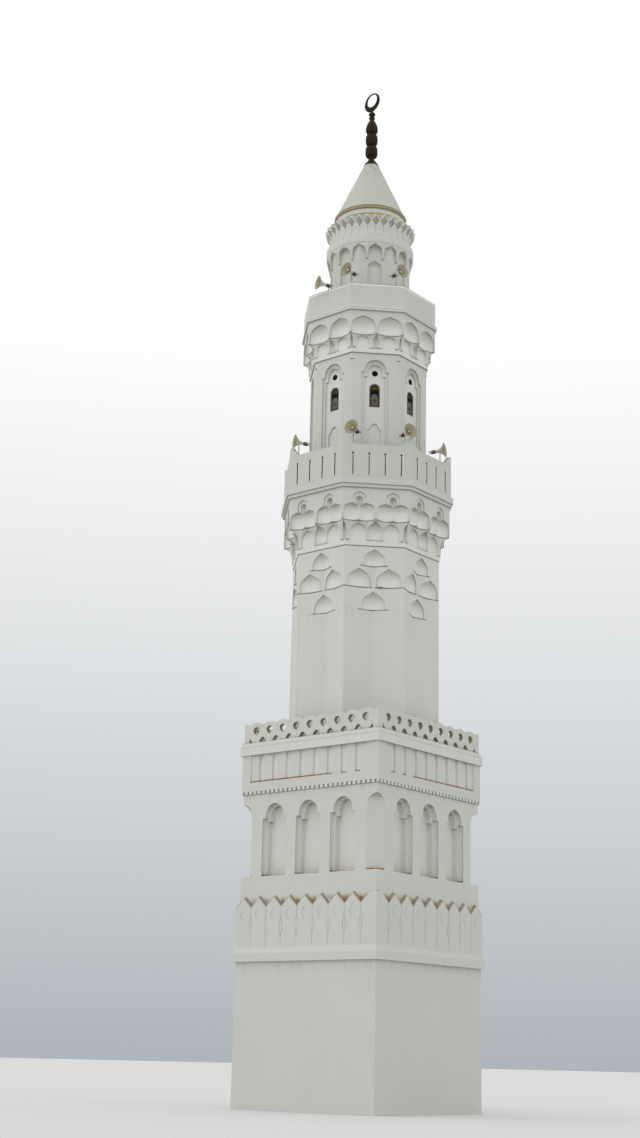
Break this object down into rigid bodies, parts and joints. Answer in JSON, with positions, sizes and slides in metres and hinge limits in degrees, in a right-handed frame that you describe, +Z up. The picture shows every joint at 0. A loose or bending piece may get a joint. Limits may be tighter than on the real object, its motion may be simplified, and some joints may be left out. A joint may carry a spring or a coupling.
{
  "type": "minaret",
  "caption": "Free-standing white masonry minaret with a square base, an octagonal shaft, two balconies, a drum, a cone roof and a crescent finial.",
  "frame": {"origin": "centre of the square plan on the ground, on the underside of the ground floor slab", "axes": "+Z up, -Y out of the front face, +X out of the right face"},
  "size_m": [5.9632, 5.9945, 37.054],
  "materials": {
    "white_paint": "matte masonry paint",
    "cone_paint": "weathered masonry paint",
    "khaki_paint": "matte masonry paint",
    "screed": "rough cement screed",
    "bronze": "darkened bronze",
    "horn_paint": "faded cream paint"
  },
  "bodies": {
    "root": {"ground_floor": "screed", "front_lower_wall": "white_paint", "right_lower_wall": "white_paint", "rear_lower_wall": "white_paint", "left_lower_wall": "white_paint", "roof_ledge": "white_paint", "front_zigzag_parapet": "white_paint", "right_zigzag_parapet": "white_paint", "rear_zigzag_parapet": "white_paint", "left_zigzag_parapet": "white_paint", "front_arcade_wall": "white_paint", "right_arcade_wall": "white_paint", "rear_arcade_wall": "white_paint", "left_arcade_wall": "white_paint", "dentil_course": "white_paint", "frieze_band": "white_paint", "ribbed_frieze": "white_paint", "base_cornice": "white_paint", "terrace_floor": "screed", "front_pierced_parapet": "white_paint", "right_pierced_parapet": "white_paint", "rear_pierced_parapet": "white_paint", "left_pierced_parapet": "white_paint", "folded_shaft": "white_paint", "niche_shaft": "white_paint", "lower_corbel_bottom_row": "white_paint", "lower_corbel_top_row": "white_paint", "lower_balcony_floor": "white_paint", "lower_parapet": "white_paint", "window_tier": "white_paint", "upper_corbel_bottom_row": "white_paint", "upper_corbel_top_row": "white_paint", "upper_balcony_floor": "white_paint", "upper_parapet": "white_paint", "drum_wall": "white_paint", "drum_band": "white_paint", "star_cornice": "white_paint", "neck_ring": "cone_paint", "eave_ring": "khaki_paint", "cone_roof": "cone_paint", "finial_stem": "bronze", "finial_crescent": "bronze", "lower_horn_1": "horn_paint", "lower_horn_2": "horn_paint", "lower_horn_3": "horn_paint", "lower_horn_4": "horn_paint", "upper_horn_1": "horn_paint", "upper_horn_2": "horn_paint", "upper_horn_3": "horn_paint"}
  },
  "joints": []
}
